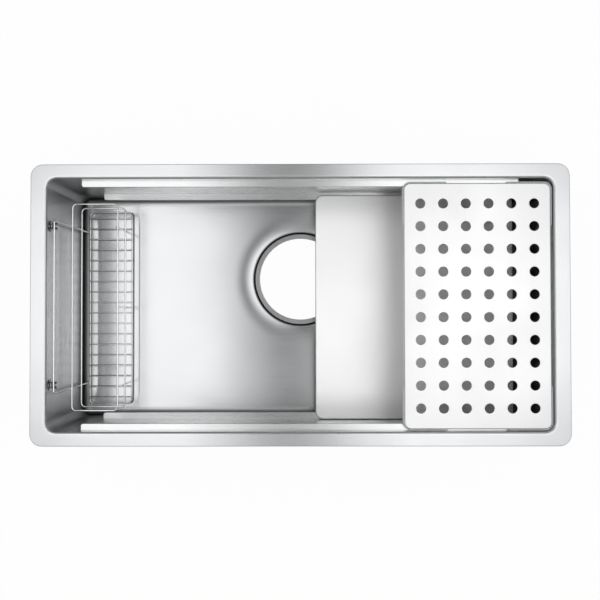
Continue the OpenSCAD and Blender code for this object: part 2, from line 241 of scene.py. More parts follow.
def make_piece(name, skins, body, material, nodes, merge=0.0005):
    """One object from one or more closed skins: it stands for the CAD nodes and rides on body.
    Edges that turn more than SHARP_TURN stay crisp, all others are shaded smooth, and points
    closer than `merge` millimetres become one."""
    start = np.cumsum([0] + [len(s["points"]) for s in skins])
    faces = [[k + first for k in face] for s, first in zip(skins, start) for face in s["faces"]]
    keys = ("points", "uv", "grain", "missed")
    points, uv, grain, missed = (np.concatenate([s[key] for s in skins]) for key in keys)
    mesh = bpy.data.meshes.new(name)
    mesh.from_pydata((points * MM).tolist(), [], faces)
    layer = mesh.uv_layers.new(name="brush")
    layer.data.foreach_set("uv", uv.astype(np.float32).ravel())
    layer = mesh.attributes.new("grain", "FLOAT_VECTOR", "POINT")
    layer.data.foreach_set("vector", normalised(grain).astype(np.float32).ravel())
    # Painted shade: how far each point's colour is darkened towards a near-black grey.
    layer = mesh.attributes.new("missed", "FLOAT", "POINT")
    layer.data.foreach_set("value", missed.astype(np.float32))
    work = bmesh.new()
    work.from_mesh(mesh)
    bmesh.ops.remove_doubles(work, verts=work.verts, dist=merge * MM)
    bmesh.ops.recalc_face_normals(work, faces=work.faces)
    work.to_mesh(mesh)
    work.free()
    mesh.polygons.foreach_set("use_smooth", np.ones(len(mesh.polygons), bool))
    mesh.set_sharp_from_angle(angle=SHARP_TURN)
    mesh.materials.append(material)
    obj = place_object(name, mesh)
    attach(obj, body)
    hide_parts(*nodes)
    triangles = sum(len(p.vertices) - 2 for p in mesh.polygons)
    size = [round(d / MM, 1) for d in obj.dimensions]
    print(f"{name}: {triangles} triangles, {size} mm")


# %% [markdown]
# ## Materials
# Almost all of this object is one metal, austenitic stainless steel, in six states of finish.
# They differ in how rough the belt left the metal and how strongly it is brushed one way,
# and each has its own base colour, set lighter or darker than the others, which paints light
# and shade into the pieces. One function makes them all from those facts.

# %% Colour and node helpers


def colour(hex_code):
    """An sRGB hex colour as linear RGBA: each channel c becomes c / 12.92 when it is small,
    and ((c + 0.055) / 1.055) to the power 2.4 otherwise."""
    c = np.array([int(hex_code[k:k + 2], 16) for k in (1, 3, 5)]) / 255
    linear = np.where(c <= 0.04045, c / 12.92, ((c + 0.055) / 1.055) ** 2.4)
    return (*linear.tolist(), 1.0)


def add(tree, kind, feeds=(), **settings):
    """Add a node to a tree. A setting with a capital sets the input socket of that name, any
    other sets a property. Each feed is (input, what goes in): a number, an output socket, or
    a node, whose first output is meant."""
    made = tree.nodes.new("ShaderNode" + kind)
    for name, value in settings.items():
        if name[0].isupper():
            made.inputs[name.replace("_", " ")].default_value = value
        else:
            setattr(made, name, value)
    for name, source in feeds:
        if isinstance(source, float):
            made.inputs[name].default_value = source
        else:
            socket = source.outputs[0] if isinstance(source, bpy.types.Node) else source
            tree.links.new(made.inputs[name], socket)
    return made


def empty_tree(owner):
    """The node tree of a new material or world, with nothing in it."""
    owner.use_nodes = True
    owner.node_tree.nodes.clear()
    return owner.node_tree


def new_material(name):
    """A new material and its empty tree."""
    material = bpy.data.materials.new(name)
    return material, empty_tree(material)


def show_surface(tree, feeds, **settings):
    """The shader node with its feeds and settings, and the output node."""
    shader = add(tree, "BsdfPrincipled", feeds, **settings)
    add(tree, "OutputMaterial", [("Surface", shader)])


def roughness_range(tree, noise, middle, spread, **span):
    """Roughness that goes from middle - spread to middle + spread as the noise goes from 0 to
    1, or over the span From_Min to From_Max."""
    ends = {"To_Min": middle - spread, "To_Max": middle + spread}
    return add(tree, "MapRange", [("Value", noise)], **ends, **span)


def relief(tree, noise, strength, height):
    """The noise as a relief that is `height` millimetres high, for the shader's normal."""
    return add(tree, "Bump", [("Height", noise)], Strength=strength, Distance=height * MM)


print("white is", colour("#ffffff"))

# %% [markdown]
# ### Brushed stainless steel
# A belt leaves scratches 0.05 to 0.3 mm wide and several centimetres long. They are too fine
# to show at this size, so the pattern draws them 0.7 mm wide, as coarse as it needs to show,
# and very shallow. What they do to light is told in two numbers: the roughness, and how much
# more a reflection is stretched across the grain than along it. In the bowl's corners, at the
# foot of its walls and in the step round the waste, shade is painted into the colour as a
# near-black grey, and the metal is made rougher there.

# %% Brushed steel
# A near-black grey, painted as shade into the bowl's corners, the foot of its walls and the step round the
# waste. DULLER is how much rougher those places are made.
PAINTED_SHADE_GREY = "#202122"
DULLER = 0.3
STREAK_WIDTH = 0.7
STREAK_LENGTH = 90.0


def streak_noise(tree, length, width, detail):
    """Noise squeezed to `width` millimetres across the grain and `length` along it. The UV map
    is in millimetres, u along the grain."""
    uv = add(tree, "UVMap", uv_map="brush")
    squeeze = add(tree, "Mapping", [("Vector", uv)], Scale=(1 / length, 1 / width, 1.0))
    return add(tree, "TexNoise", [("Vector", squeeze)], Scale=1.0, Detail=detail)


def even_noise(tree, scale, detail):
    """Noise in the object's own metres."""
    place = add(tree, "TexCoord").outputs["Object"]
    return add(tree, "TexNoise", [("Vector", place)], Scale=scale, Detail=detail)


def between(tree, share, first, second):
    """The colour that goes from the first to the second as the share goes from 0 to 1."""
    ends = {"A": colour(first), "B": colour(second)}
    return add(tree, "Mix", [("Factor", share)], data_type="RGBA", **ends).outputs["Result"]


def brushed_steel(name, base, roughness, stretch, corners=False):
    """Stainless steel with belt marks. Streaks and a slow cloud together vary the roughness.
    With corners set, shade is painted into the colour by each point's painted-shade mask: it
    turns towards a near-black grey and grows rougher there."""
    material, tree = new_material(name)
    streaks = streak_noise(tree, STREAK_LENGTH, STREAK_WIDTH, 3.0)
    cloud = even_noise(tree, 9.0, 2.0)
    both = add(tree, "Math", [(0, streaks), (1, cloud)], operation="ADD")
    rough = roughness_range(tree, both, roughness, 0.04, From_Min=0.6, From_Max=1.4)
    grain = add(tree, "Attribute", attribute_name="grain").outputs["Vector"]
    feeds = [("Tangent", grain), ("Normal", relief(tree, streaks, 0.6, 0.004))]
    if corners:
        # Shade painted into the colour: it turns towards the near-black grey where the mask is high, and
        # the roughness rises.
        missed = add(tree, "Attribute", attribute_name="missed").outputs["Fac"]
        rough = add(tree, "Math", [(0, missed), (1, DULLER), (2, rough)], operation="MULTIPLY_ADD")
        feeds.append(("Base Color", between(tree, missed, base, PAINTED_SHADE_GREY)))
    feeds.append(("Roughness", rough))
    show_surface(
        tree, feeds,
        Base_Color=colour(base), Metallic=1.0, Anisotropic=stretch, Anisotropic_Rotation=0.25
    )
    return material


# The rim and the ledges have the soft sheen of a fine belt. The walls' reflections are
# sharper. The pan is smoother, with hardly any stretch. The board and the tray are ground fine
# and dull. The base colours paint light and shade: the walls are painted brighter, the pan
# darker, and the board and the tray almost white.
rim_steel = brushed_steel("satin_brushed_stainless_rim", "#c3c4c5", 0.29, 0.6)
bowl_steel = brushed_steel("satin_brushed_stainless_bowl_painted_shade", "#dddedf", 0.24, 0.5, corners=True)
pan_steel = brushed_steel("satin_brushed_stainless_pan_painted_shade", "#b2b3b4", 0.19, 0.1, corners=True)
ledge_steel = brushed_steel("fine_brushed_stainless_ledge", "#cacbcb", 0.28, 0.5)
board_steel = brushed_steel("fine_satin_stainless_board", "#d0d0d0", 0.36, 0.4)
tray_steel = brushed_steel("fine_satin_stainless_tray", "#e9e9e9", 0.46, 0.2)
print("steels made: 6")

# %% [markdown]
# ### Wire, rubber, plastic and silicone
# The basket is drawn wire that was electropolished: bright, with faint draw marks along it.
# The cups are clear soft vinyl, glossy and a little cloudy. The clips are moulded black ABS,
# whose fine spark texture breaks up its shine. The board's corner guards are milky silicone,
# which lets light in and scatters it. The pads outside the bowl are moulded butyl rubber.

# %% Wire and nut
MARK_WIDTH = 0.35
MARK_LENGTH = 30.0


def polished_wire(name, base, roughness):
    """Bright metal with shallow draw marks, narrow round the wire and long along it. The wire's
    UV map runs round it first, so length and width change places here."""
    material, tree = new_material(name)
    marks = streak_noise(tree, MARK_WIDTH, MARK_LENGTH, 2.0)
    feeds = [("Roughness", roughness_range(tree, marks, roughness, 0.05))]
    feeds.append(("Normal", relief(tree, marks, 0.3, 0.003)))
    show_surface(tree, feeds, Base_Color=colour(base), Metallic=1.0)
    return material


wire_steel = polished_wire("electropolished_wire", "#eceded", 0.22)
nut_metal = polished_wire("nickel_plated_nut", "#e6e3dc", 0.16)
print("wire and nut made")

# %% Rubber, plastic and silicone


def moulded(name, base, deep, roughness, grit, height, **settings):
    """A moulded surface: two close shades mottled by noise with a grit of so many millimetres,
    and the same noise as relief of that height and as a small change of roughness."""
    material, tree = new_material(name)
    noise = even_noise(tree, 1 / (grit * MM), 4.0)
    feeds = [("Base Color", between(tree, noise, base, deep))]
    feeds.append(("Roughness", roughness_range(tree, noise, roughness, 0.06)))
    feeds.append(("Normal", relief(tree, noise, 0.5, height)))
    show_surface(tree, feeds, **settings)
    return material


cup_vinyl = moulded(
    "clear_soft_vinyl", "#fafbfb", "#f4f6f6", 0.1, 3.0, 0.01, IOR=1.53, Transmission_Weight=1.0
)
clip_plastic = moulded("spark_textured_black_abs", "#0e0e0f", "#18181a", 0.36, 0.5, 0.03, IOR=1.54)
pad_rubber = moulded("moulded_butyl_pad", "#2c2d2f", "#3a3b3d", 0.7, 2.0, 0.1, IOR=1.5)
guard_silicone = moulded(
    "milky_silicone", "#dfe2e3", "#d2d6d8", 0.42, 1.0, 0.02, IOR=1.41, Transmission_Weight=0.4
)
print("rubber, plastic and silicone made")

# %% [markdown]
# ## The rim
# On the real sink the rim is a thick steel frame, welded round the bowl's mouth and ground
# until the seam is gone. Its inner edge rolls over into the bowl in one soft radius, and its
# outer edge is only eased. A bevelled box would give every edge the same radius, so the
# cross-section is drawn and carried round the opening, and the skin closes on itself.
# The rim, the walls and the floor's edge have their points on the same lines, those of the
# floor's grid. The lines crowd together where the floor bends: near the walls and the fold.

# %% Rim section
ROLL_R = 4.5
EASE_R = 1.2
CORNER_STEPS = 10
# How far the roll reaches below the rim's plate, to the seam with the walls.
SEAM_DEPTH = ROLL_R - (rim_top - rim_low[2]) + 0.5
# A narrow flat strip beside a rounded edge, which keeps the edge's shading off the flat.
HOLD = 0.4

# %% Lines that the rim, the walls and the floor share
FOOT = 14.0
FOOT_R = 4.0
RAMP_FROM = 25.0
SQUARE_INSET = 8.0
FOLD_X = -310.0
# KINK is half the width of the bend where an end ramp starts.
KINK = 0.6

field_x = opening_x - FOOT - SQUARE_INSET
field_y = opening_y - FOOT - SQUARE_INSET
block = field_y - DRAIN[1]
ramp_edge = RAMP_FROM - FOOT - SQUARE_INSET
# Distances in millimetres from the end of the field and from the fold.
near_wall = np.array([0, 5, ramp_edge - KINK, ramp_edge + KINK, 14, 22, 34, 48, 60])
near_fold = np.array([-6, -2.5, -1, -0.3, 0.4, 1.1, 2, 3, 4.5, 7, 10, 15, 22, 30])
x_lines = np.unique(np.concatenate((
    near_wall - field_x, FOLD_X + near_fold, np.linspace(FOLD_X + 44, -block, 10),
    np.linspace(-block, block, 29), np.linspace(block, field_x - 72, 13), field_x - near_wall,
)).round(6))
y_lines = np.unique(np.concatenate((
    near_wall - field_y, [DRAIN[1] - block - 12], np.linspace(DRAIN[1] - block, field_y, 29)
)).round(6))
along = x_lines / field_x
across = y_lines / field_y
bowl_sides = [across, -along[::-1], -across[::-1], along]
print("floor lines:", len(x_lines), "by", len(y_lines))


def shared_rect(half_x, half_y, radius, grow):
    """A rounded rectangle on the shared lines, moved outwards by `grow`."""
    return round_rect(half_x + grow, half_y + grow, radius + grow, bowl_sides, CORNER_STEPS)


def bowl_line(out, z):
    """The bowl's outline, moved outwards, at height z."""
    return lift(shared_rect(opening_x, opening_y, OPENING_R, out), z)


def rim_line(inward, z):
    """The rim's outer outline, moved inwards, at height z."""
    return lift(shared_rect(rim_high[0], rim_high[1], RIM_R, -inward), z)


seam_z = rim_low[2] - SEAM_DEPTH
roll = arc((ROLL_R, rim_top - ROLL_R), ROLL_R, 180, 90, 10)
ease = arc((EASE_R, rim_top - EASE_R), EASE_R, 90, 180, 5)
top_from = bowl_line(ROLL_R + HOLD, rim_top)
top_to = rim_line(EASE_R + HOLD, rim_top)
base = rim_low[2]
rim_loops = [bowl_line(x, z) for x, z in [(0, seam_z), *roll]]
rim_loops += [top_from + t * (top_to - top_from) for t in (0, 0.25, 0.5, 0.75, 1)]
rim_loops += [rim_line(x, z) for x, z in [*ease, (0, base + 0.4), (0.4, base), (1.0, base)]]
rim_loops += [bowl_line(x, z) for x, z in [(SHEET + 1.0, base), (SHEET, base), (SHEET, seam_z)]]
make_piece(
    "sink_rim", [skin(np.array(rim_loops), tube=True)], "sink", rim_steel, ["rim_frame"]
)

# %% [markdown]
# ## The bowl
# The walls are one band of sheet, bent round four corners. The floor is a pan, pressed with a
# soft edge that turns up into the walls. The two are welded and ground where they meet, so
# their skins share one outline there and no seam shows.

# %% Walls
# How much shade is painted on the wall in a corner and at the foot, and the distance from
# there over which that fades to about a third.
CORNER_FADE = 45.0
CORNER_PAINTED_SHADE = 0.5
FOOT_FADE = 25.0
FOOT_PAINTED_SHADE = 0.8
wall_heights = np.concatenate(([seam_z, -25, -60, -100, -140], pan_top + np.array([50, 32, 20, 10, 4, 0])))
wall_profile = [*((0, z) for z in wall_heights), (SHEET, pan_top), (SHEET, seam_z)]
wall_grid = np.array([bowl_line(x, z) for x, z in wall_profile])
from_arc = (opening_x - OPENING_R, opening_y - OPENING_R) - np.abs(wall_grid[0, :, :2])
at_corner = CORNER_PAINTED_SHADE * np.exp(-np.maximum(from_arc.max(1), 0) / CORNER_FADE)
at_foot = FOOT_PAINTED_SHADE * np.exp(-(wall_grid[:, :1, 2] - pan_top) / FOOT_FADE)
wall_painted_shade = 1 - (1 - at_corner) * (1 - at_foot)
wall_grain = along_rows(wall_grid)
wall_grain[:, np.abs(wall_grid[0, :, 0]) > opening_x - 0.01] = (0.0, 0.0, 1.0)
make_piece(
    "sink_walls", [skin(wall_grid, tube=True, grain=wall_grain, missed=wall_painted_shade)],
    "sink", bowl_steel, ["bowl_walls"]
)

# %% [markdown]
# The real floor isn't quite flat, so that water runs out. It rises a little towards the long
# walls, ramps up at the two ends, has a shallow fold across it beside the basket, and is drawn
# down towards the step and the sloping ring that the waste sits on. One function gives its
# height everywhere, and three kinds of skin carry it: a grid, a square block of rings round
# the waste hole, and a skirt that goes up the soft edge and back down outside.

# %% Height of the floor
# The rise at the long walls and the ramps at the ends.
RISE = 1.5
RISE_REACH = 45.0
RAMP_RISE = 1.4
# The dish round the waste, the edge of its step, the step's foot and the slope of the ring.
DISH_R = 132.0
DISH_DROP = 3.0
STEP_R = 0.6
TOE_IN = 3.0
TOE_UP = 0.6
RING_DROP = 0.5
# The fold: a gentle fall and a sharp one, and the distance over which both come back.
FALL = 0.5
FALL_REACH = 7.0
CREASE = 0.32
CREASE_REACH = 1.2
FALL_BACK = 160.0
recess_z = floor_top - RECESS_DEPTH
ring_z = recess_z + RING_DROP


def floor_height(x, y, folded=True):
    """The flat level, plus the higher of a squared rise at the long walls and a straight ramp
    at the ends, minus a cubed fall to the step round the waste, minus the fall right of the
    fold: a long and a short curve of the form drop * (1 - exp(-distance / reach)), which half a
    cosine wave takes back over FALL_BACK."""
    near = np.clip(1 - (opening_y - FOOT - np.abs(y)) / RISE_REACH, 0, 1) ** 2
    ramp = np.clip((RAMP_FROM - opening_x + np.abs(x)) / (RAMP_FROM - FOOT), 0, 1)
    t = np.clip((DISH_R - np.hypot(x, y - DRAIN[1])) / (DISH_R - RECESS_R - STEP_R), 0, 1)
    height = floor_top + np.maximum(RISE * near, RAMP_RISE * ramp)
    height = height - DISH_DROP * t ** 3
    past = np.maximum(x - FOLD_X, 0)
    fall = FALL * (1 - np.exp(-past / FALL_REACH)) + CREASE * (1 - np.exp(-past / CREASE_REACH))
    back = 0.5 + 0.5 * np.cos(np.pi * np.clip((past - 2 * FALL_REACH) / FALL_BACK, 0, 1))
    return height - fall * back * (1 - near) * (1 - ramp) * folded


edge_z = float(floor_height(RECESS_R, DRAIN[1]))
print("floor at the step, above the ring in mm:", round(edge_z - recess_z, 2))

# %% Skirt
TURN_END = np.radians(85.0)
# The strength of the painted shade on the soft edge at the wall side; it fades as the cosine of the turn
# towards the floor.
EDGE_PAINTED_SHADE = 0.9


def on_floor(flat, folded=True, under=0.0):
    """An outline at the floor's own height, or that far under it."""
    return np.column_stack((flat, floor_height(flat[:, 0], flat[:, 1], folded) - under))


def floor_line(inward, folded=True, under=0.0):
    """The floor's outline, `inward` from the soft edge's foot."""
    radius = FOOT_R * (1 - inward / SQUARE_INSET)
    flat = shared_rect(opening_x, opening_y, radius + FOOT + inward, -FOOT - inward)
    return on_floor(flat, folded, under)


def edge_line(turn, out=0.0, folded=True):
    """An outline on the soft edge, which is nearly a quarter of an ellipse. At the angle turn it
    has gone in by the share (1 - cos turn) of the way to the foot and down by sin turn."""
    go_in = (1 - np.cos(turn)) / (1 - np.cos(TURN_END))
    go_down = np.sin(turn) / np.sin(TURN_END)
    radius = OPENING_R + (FOOT - OPENING_R + FOOT_R) * go_in
    flat = shared_rect(opening_x, opening_y, radius, out - FOOT * go_in)
    foot_line = floor_line(0.0, folded, out)
    return np.column_stack((flat, pan_top - (pan_top - foot_line[:, 2]) * go_down))


turns = np.linspace(0, TURN_END, 15)
inside = turns[::-1]
skirt = [floor_line(x) for x in (SQUARE_INSET, SQUARE_INSET / 2, 2.0)]
flat_rows = len(skirt)
skirt += [edge_line(turn) for turn in inside]
skirt += [edge_line(turn, SHEET, False) for turn in turns[::2]]
skirt.append(floor_line(SQUARE_INSET, False, SHEET))
skirt = np.array(skirt)
# Painted shade down the soft edge, darkest at the wall and fading towards the floor.
skirt_painted_shade = np.zeros((len(skirt), 1))
skirt_painted_shade[flat_rows:flat_rows + len(inside), 0] = EDGE_PAINTED_SHADE * np.cos(inside)
skirt_grain = along_rows(skirt)
skirt_grain[:flat_rows] = ALONG_X
pan_skins = [skin(skirt, grain=skirt_grain, flat_uv=True, missed=skirt_painted_shade)]

# %% Grid and block
for x_part, y_part in (
    (x_lines[x_lines < -block + 0.01], y_lines), (x_lines[x_lines > block - 0.01], y_lines),
    (x_lines[np.abs(x_lines) < block + 0.01], y_lines[y_lines < DRAIN[1] - block + 0.01]),
):
    x, y = np.meshgrid(x_part, y_part)
    for folded, under in ((True, 0.0), (False, SHEET)):
        sheet = np.stack((x, y, floor_height(x, y, folded) - under), -1)
        pan_skins.append(skin(sheet, ring=False, grain=ALONG_X, flat_uv=True))
block_places = x_lines[np.abs(x_lines) < block - 0.01] / block
border = round_rect(block, block, 0.0, [np.concatenate(([-1], block_places))] * 4, 1)
ray = normalised(border)


def drain_circle(radius, z):
    """A circle round the waste hole, its points on the rays to the block's border."""
    return lift(DRAIN + radius * ray, z)


rings = [on_floor(DRAIN + border + t * (DISH_R * ray - border)) for t in (0, 0.2, 0.4, 0.6, 0.8, 1)]
rings += [on_floor(DRAIN + r * ray) for r in np.linspace(DISH_R, RECESS_R + STEP_R, 14)[1:]]
step_from = len(rings)
outside = RECESS_R + SHEET
sheet_low = recess_z - SHEET
step_arc = arc((RECESS_R + STEP_R, edge_z - STEP_R), STEP_R, 90, 180, 7)[1:]
toe_arc = (RECESS_R - TOE_IN, ring_z + TOE_UP) + arc((0, 0), 1, 0, -90, 6) * (TOE_IN, TOE_UP)
step_to = step_from + len(step_arc) + len(toe_arc)
profile = [
    *step_arc, *toe_arc, (RECESS_R - TOE_IN - HOLD, ring_z), (HOLE_R + 1.0, recess_z),
    *arc((HOLE_R + 0.6, recess_z - 0.6), 0.6, 90, 180, 5), (HOLE_R, sheet_low + 0.2),
    (HOLE_R + 0.2, sheet_low), (outside - 1.0, sheet_low), (outside, sheet_low + 1.0),
    (outside, edge_z - SHEET),
]
rings += [drain_circle(r, z) for r, z in profile]
rings.append(on_floor(DRAIN + (outside + 1.0) * ray, False, SHEET))
rings += [on_floor(DRAIN + r * ray, False, SHEET) for r in (105, 118, DISH_R)]
rings.append(on_floor(DRAIN + border, False, SHEET))
# Painted shade at full strength on the step and its foot round the waste.
ring_painted_shade = np.zeros((len(rings), 1))
ring_painted_shade[step_from - 1:step_to - 1] = 1.0
pan_skins.append(skin(np.array(rings), grain=ALONG_X, flat_uv=True, missed=ring_painted_shade))
make_piece("sink_floor", pan_skins, "sink", pan_steel, ["bowl_floor"])

# %% [markdown]
# ## Flat bars, pads and plates
# The ledges are bars, cut from plate and welded to the walls. The sound pads are rubber sheets
# stuck on outside. Both are a flat outline with a thickness and a small edge radius, so one
# function carries a round-edged section round the outline.

# %% Slabs


def rounded_polygon(corners, radii, steps):
    """A closed polygon with each corner replaced by an arc that touches both sides: the arc
    starts radius / tan(half the corner's angle) before the corner, and bulges towards it."""
    corners = np.array(corners, float)
    out = []
    for k, radius in enumerate(radii):
        here = corners[k]
        if radius == 0:
            out.append(here[None])
            continue
        back = normalised(corners[k - 1] - here)
        ahead = normalised(corners[(k + 1) % len(corners)] - here)
        half = np.arccos(np.clip(back @ ahead, -1, 1)) / 2
        middle = normalised(back + ahead)
        centre = here + middle * radius / np.sin(half)
        first = here + back * radius / np.tan(half) - centre
        last = here + ahead * radius / np.tan(half) - centre
        t = np.linspace(0, 1, steps + 1)[:, None]
        angle = np.pi - 2 * half
        out.append(centre + (np.sin((1 - t) * angle) * first + np.sin(t * angle) * last) / np.sin(angle))
    return np.concatenate(out)


def outward(outline):
    """Unit vectors that point out of a counter-clockwise outline, at each of its points."""
    ahead = normalised(np.roll(outline, -1, axis=0) - outline)
    behind = normalised(outline - np.roll(outline, 1, axis=0))
    side = ahead + behind
    normal = np.column_stack((side[:, 1], -side[:, 0]))
    length = np.linalg.norm(normal, axis=1, keepdims=True)
    return normal / length / np.maximum(length / 2, 0.5)


def slab(outline, low, high, edge, steps=4, grain=None):
    """A flat piece between two heights. Its section is a rectangle whose corners have the
    radius `edge`: each point of the section moves the outline in by some amount."""
    out = outward(outline)
    up = arc((edge, low + edge), edge, 270, 180, steps)
    down = arc((edge, high - edge), edge, 180, 90, steps)
    flat = edge + 0.3
    section = np.concatenate(([(flat, low)], up, down, [(flat, high)]))
    loops = [lift(outline - x * out, z) for x, z in section]
    return skin(np.array(loops), caps=True, grain=grain, flat_uv=True)


print("slabs ready")

# %% Ledges
LEDGE_R = 4.0
LEDGE_EDGE = 0.8
WELD_IN = 0.6
for node in ("upper_ledge_rear", "upper_ledge_front", "lower_ledge_rear", "lower_ledge_front"):
    low, high = box_mm(node)
    rear = high[1] > 0
    at_wall = high[1] + WELD_IN if rear else low[1] - WELD_IN
    inner_edge = low[1] if rear else high[1]
    corners = [(low[0], at_wall), (low[0], inner_edge), (high[0], inner_edge), (high[0], at_wall)]
    outline = rounded_polygon(corners if rear else corners[::-1], [0, LEDGE_R, LEDGE_R, 0], 8)
    bar = slab(outline, low[2], high[2], LEDGE_EDGE, grain=ALONG_X)
    make_piece(node + "_bar", [bar], "sink", ledge_steel, [node])

# %% Sound pads
PAD_R = 8.0
PAD_EDGE = 0.7


def turned(made, axis, side):
    """A slab drawn in (a, b, height) laid against a wall or the floor: its height runs out
    along the axis 0, 1 or 2 in the direction of side, and a and b take the other two places."""
    order = {0: (2, 0, 1), 1: (0, 2, 1), 2: (0, 1, 2)}[axis]
    points = made["points"][:, order].copy()
    points[:, axis] *= side
    return {**made, "points": points, "grain": made["grain"][:, order]}


for place, axis, side in (
    ("rear", 1, 1), ("front", 1, -1), ("left", 0, -1), ("right", 0, 1),
    ("floor_left", 2, -1), ("floor_right", 2, -1),
):
    node = "sound_pad_" + place
    low, high = box_mm(node)
    a, b = [k for k in range(3) if k != axis]
    middle = (low + high) / 2
    half = (high - low) / 2
    outline = round_rect(half[a], half[b], PAD_R, even_sides(1)) + (middle[a], middle[b])
    near, far = sorted((abs(low[axis]), abs(high[axis])))
    mat = turned(slab(outline, near, far, PAD_EDGE), axis, side)
    make_piece(node + "_mat", [mat], "sink", pad_rubber, [node])

# %% [markdown]
# ## The drain board
# The real board is one sheet: sixty holes are punched in it, then four edges are folded down.
# Boolean cuts would leave long thin triangles that shade badly. Here each hole has its own
# square cell: rings of points run from the square down through the hole and back under the
# sheet, and neighbours share their borders exactly. A border strip then carries the sheet out
# to its round-cornered edge and down the flanges.

# %% Cells with holes
PITCH = 37.2
BOARD_HOLE_R = 7.9
HOLE_EASE = 0.6
BURR = 0.25
BOARD_R = 11.0
COLUMNS = 6
ROWS = 10
CELL_POINTS = 48
board_mid = (board_low + board_high) / 2
board_top = board_high[2]

theta = full_turn(CELL_POINTS)
circle = np.column_stack((np.cos(theta), np.sin(theta)))
square = circle / np.abs(circle).max(1, keepdims=True) * PITCH / 2
eased = BOARD_HOLE_R + HOLE_EASE
collar = BOARD_HOLE_R + 1.4
punch = [(collar, 0.0), *arc((eased, -HOLE_EASE), HOLE_EASE, 90, 180, 4)]
punch += [(BOARD_HOLE_R, BURR - SHEET), (BOARD_HOLE_R + BURR, -SHEET), (collar, -SHEET)]
cell = np.array([lift(square, 0.0)] + [lift(r * circle, z) for r, z in punch] + [lift(square, -SHEET)])


def hole_places(count):
    """Distances of a row's hole centres from its middle."""
    return (np.arange(count) - (count - 1) / 2) * PITCH


cells = [
    skin(cell + (board_mid[0] + x, board_mid[1] + y, board_top), grain=ALONG_Y, flat_uv=True)
    for x in hole_places(COLUMNS) for y in hole_places(ROWS)
]
print("holes in the board:", len(cells))

# %% Border and flanges
FOLD_R = 1.8
DEBURRED = 0.3
half_board = (board_high - board_low)[:2] / 2
edge_places = np.unique(np.round(square[np.abs(square[:, 0] - PITCH / 2) < 1e-6, 1], 9))


def cell_sides(count):
    """Places along a row of cells, from -1 to 1, where the cells' border points lie."""
    places = np.unique(np.round((hole_places(count)[:, None] + edge_places).ravel(), 6))
    return places / places.max()


board_sides = [cell_sides(ROWS), cell_sides(COLUMNS)] * 2


def board_line(inward, drop):
    """The board's outline moved inwards and lowered by drop, a length or one for each point."""
    flat = round_rect(half_board[0] - inward, half_board[1] - inward, BOARD_R - inward, board_sides)
    return np.column_stack((flat + board_mid[:2], board_top - np.broadcast_to(drop, len(flat))))


def hole_field(drop):
    """The rectangle round all the cells, with four corners that are points."""
    flat = round_rect(COLUMNS * PITCH / 2, ROWS * PITCH / 2, 0.0, board_sides)
    return lift(flat + board_mid[:2], board_top - drop)


plain = round_rect(half_board[0], half_board[1], BOARD_R, board_sides)
on_side = (np.abs(plain[:, 0]) < half_board[0] - BOARD_R - 0.5) | (
    np.abs(plain[:, 1]) < half_board[1] - BOARD_R - 0.5
)
flange = np.where(on_side, board_top - board_low[2], SHEET + 0.1)
fold = arc((FOLD_R, -FOLD_R), FOLD_R, 90, 180, 6)
fold_in = [(SHEET + 0.15, SHEET + 0.6), (SHEET + 0.6, SHEET + 0.15)]
foot = flange - DEBURRED
profile = [(FOLD_R + HOLD, 0), *((x, np.minimum(-z, foot)) for x, z in fold), (0, foot)]
profile += [(DEBURRED, flange), (SHEET - DEBURRED, flange), (SHEET, foot)]
profile += [*((x, np.minimum(z, foot)) for x, z in fold_in), (SHEET + 1.5, SHEET)]
border = [hole_field(0), *(board_line(x, drop) for x, drop in profile), hole_field(SHEET)]
make_piece(
    "drain_board_sheet",
    cells + [skin(np.array(border), grain=ALONG_Y, flat_uv=True)],
    "board", board_steel, ["drain_board"], merge=0.002
)

# %% [markdown]
# ## Corner guards
# Each corner of the board is held in a soft silicone channel that keeps steel off steel: a
# tall outer wall, a lip under the flange, and a low inner wall. That section is drawn once and
# carried along the board's edge round the corner.

# %% Guards
GUARD_LEG = 70.0
GUARD_OUT = 2.2
GUARD_LIP = 1.5
GUARD_INNER_H = 5.0
LEG_STEPS = 8
CLEAR = 0.05
guard_low, guard_high = box_mm("board_guard_rear_left")
guard_h = guard_high[2] - guard_low[2]
channel = rounded_polygon(
    [(-2 * SHEET, 0), (GUARD_OUT, 0), (GUARD_OUT, guard_h), (CLEAR, guard_h), (CLEAR, GUARD_LIP),
     (-SHEET, GUARD_LIP), (-SHEET, GUARD_INNER_H), (-2 * SHEET, GUARD_INNER_H)],
    [0.4, 0.4, 1.0, 0.3, 0.3, 0.2, 0.4, 0.4], 4
)


def guard(sx, sy):
    """The channel carried round one corner: a place on the board's edge, plus the section's
    own reach along the direction that points out of the board."""
    turn = arc((0, 0), 1.0, 0, 90, 10)
    centre = half_board - BOARD_R
    straight = np.linspace(GUARD_LEG - BOARD_R, 0, LEG_STEPS + 1)[:-1]
    edge = np.concatenate((
        np.column_stack((np.full(LEG_STEPS, half_board[0]), centre[1] - straight)),
        centre + BOARD_R * turn,
        np.column_stack((centre[0] - straight[::-1], np.full(LEG_STEPS, half_board[1]))),
    ))
    out = np.repeat(turn, [LEG_STEPS + 1] + [1] * (len(turn) - 2) + [LEG_STEPS + 1], axis=0)
    flip = np.array((sx, sy))
    place = edge[:, None] + channel[None, :, :1] * out[:, None]
    place = place * flip + board_mid[:2]
    height = np.broadcast_to(guard_low[2] + channel[None, :, 1:], place.shape[:2] + (1,))
    return skin(np.concatenate((place, height), axis=2), caps=True)


for y_name, sy in (("rear", 1), ("front", -1)):
    for x_name, sx in (("left", -1), ("right", 1)):
        node = f"board_guard_{y_name}_{x_name}"
        make_piece(
            node + "_channel", [guard(sx, sy)], "board", guard_silicone, [node]
        )

